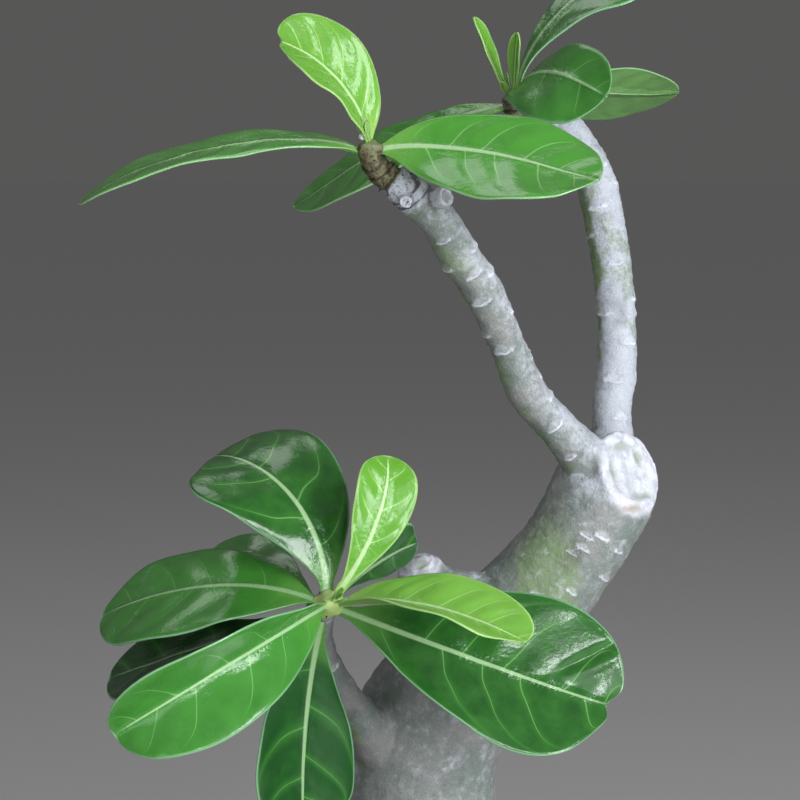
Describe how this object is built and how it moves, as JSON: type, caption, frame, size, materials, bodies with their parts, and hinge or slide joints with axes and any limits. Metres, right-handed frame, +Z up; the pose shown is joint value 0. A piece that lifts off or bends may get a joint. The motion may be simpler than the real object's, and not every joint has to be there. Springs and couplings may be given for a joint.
{
  "type": "potted desert rose adenium",
  "caption": "Potted desert rose: a swollen grey trunk with a slanted pruning cut and slender branches that end in rosettes of glossy leaves, standing in soil in a plain clay pot.",
  "frame": {"origin": "middle of the flat underside of the pot's base", "axes": "+Z up through the pot's axis, -Y towards the side that the plant faces, +X to the right of someone who looks at that side"},
  "size_m": [0.196, 0.2116, 0.42],
  "materials": {
    "clay": "matte fired clay, a little dusty",
    "soil": "loose dark potting mix with pale grit",
    "bark": "matte grey-white waxy bloom over green-grey bark",
    "old_leaf": "glossy dark green leaf with pale veins",
    "full_leaf": "glossy mid-green leaf with pale veins",
    "young_leaf": "glossy yellow-green young leaf with pale veins"
  },
  "bodies": {
    "root": {"trunk": "bark", "pot": "clay", "soil": "soil", "leaf_low_right": "old_leaf", "leaf_low_young_right": "young_leaf", "leaf_low_young_up": "young_leaf", "leaf_low_up_left": "old_leaf", "leaf_low_left": "old_leaf", "leaf_low_front": "old_leaf", "leaf_low_under_left": "old_leaf", "leaf_low_hanging": "old_leaf", "leaf_low_back_left": "old_leaf", "leaf_low_back_right": "old_leaf", "leaf_left_long": "full_leaf", "leaf_left_young": "young_leaf", "leaf_left_right": "full_leaf", "leaf_right_back_left": "full_leaf", "leaf_right_front": "old_leaf", "leaf_right_up": "old_leaf", "leaf_right_back": "full_leaf", "leaf_bud_a": "young_leaf", "leaf_bud_b": "young_leaf"}
  },
  "joints": []
}
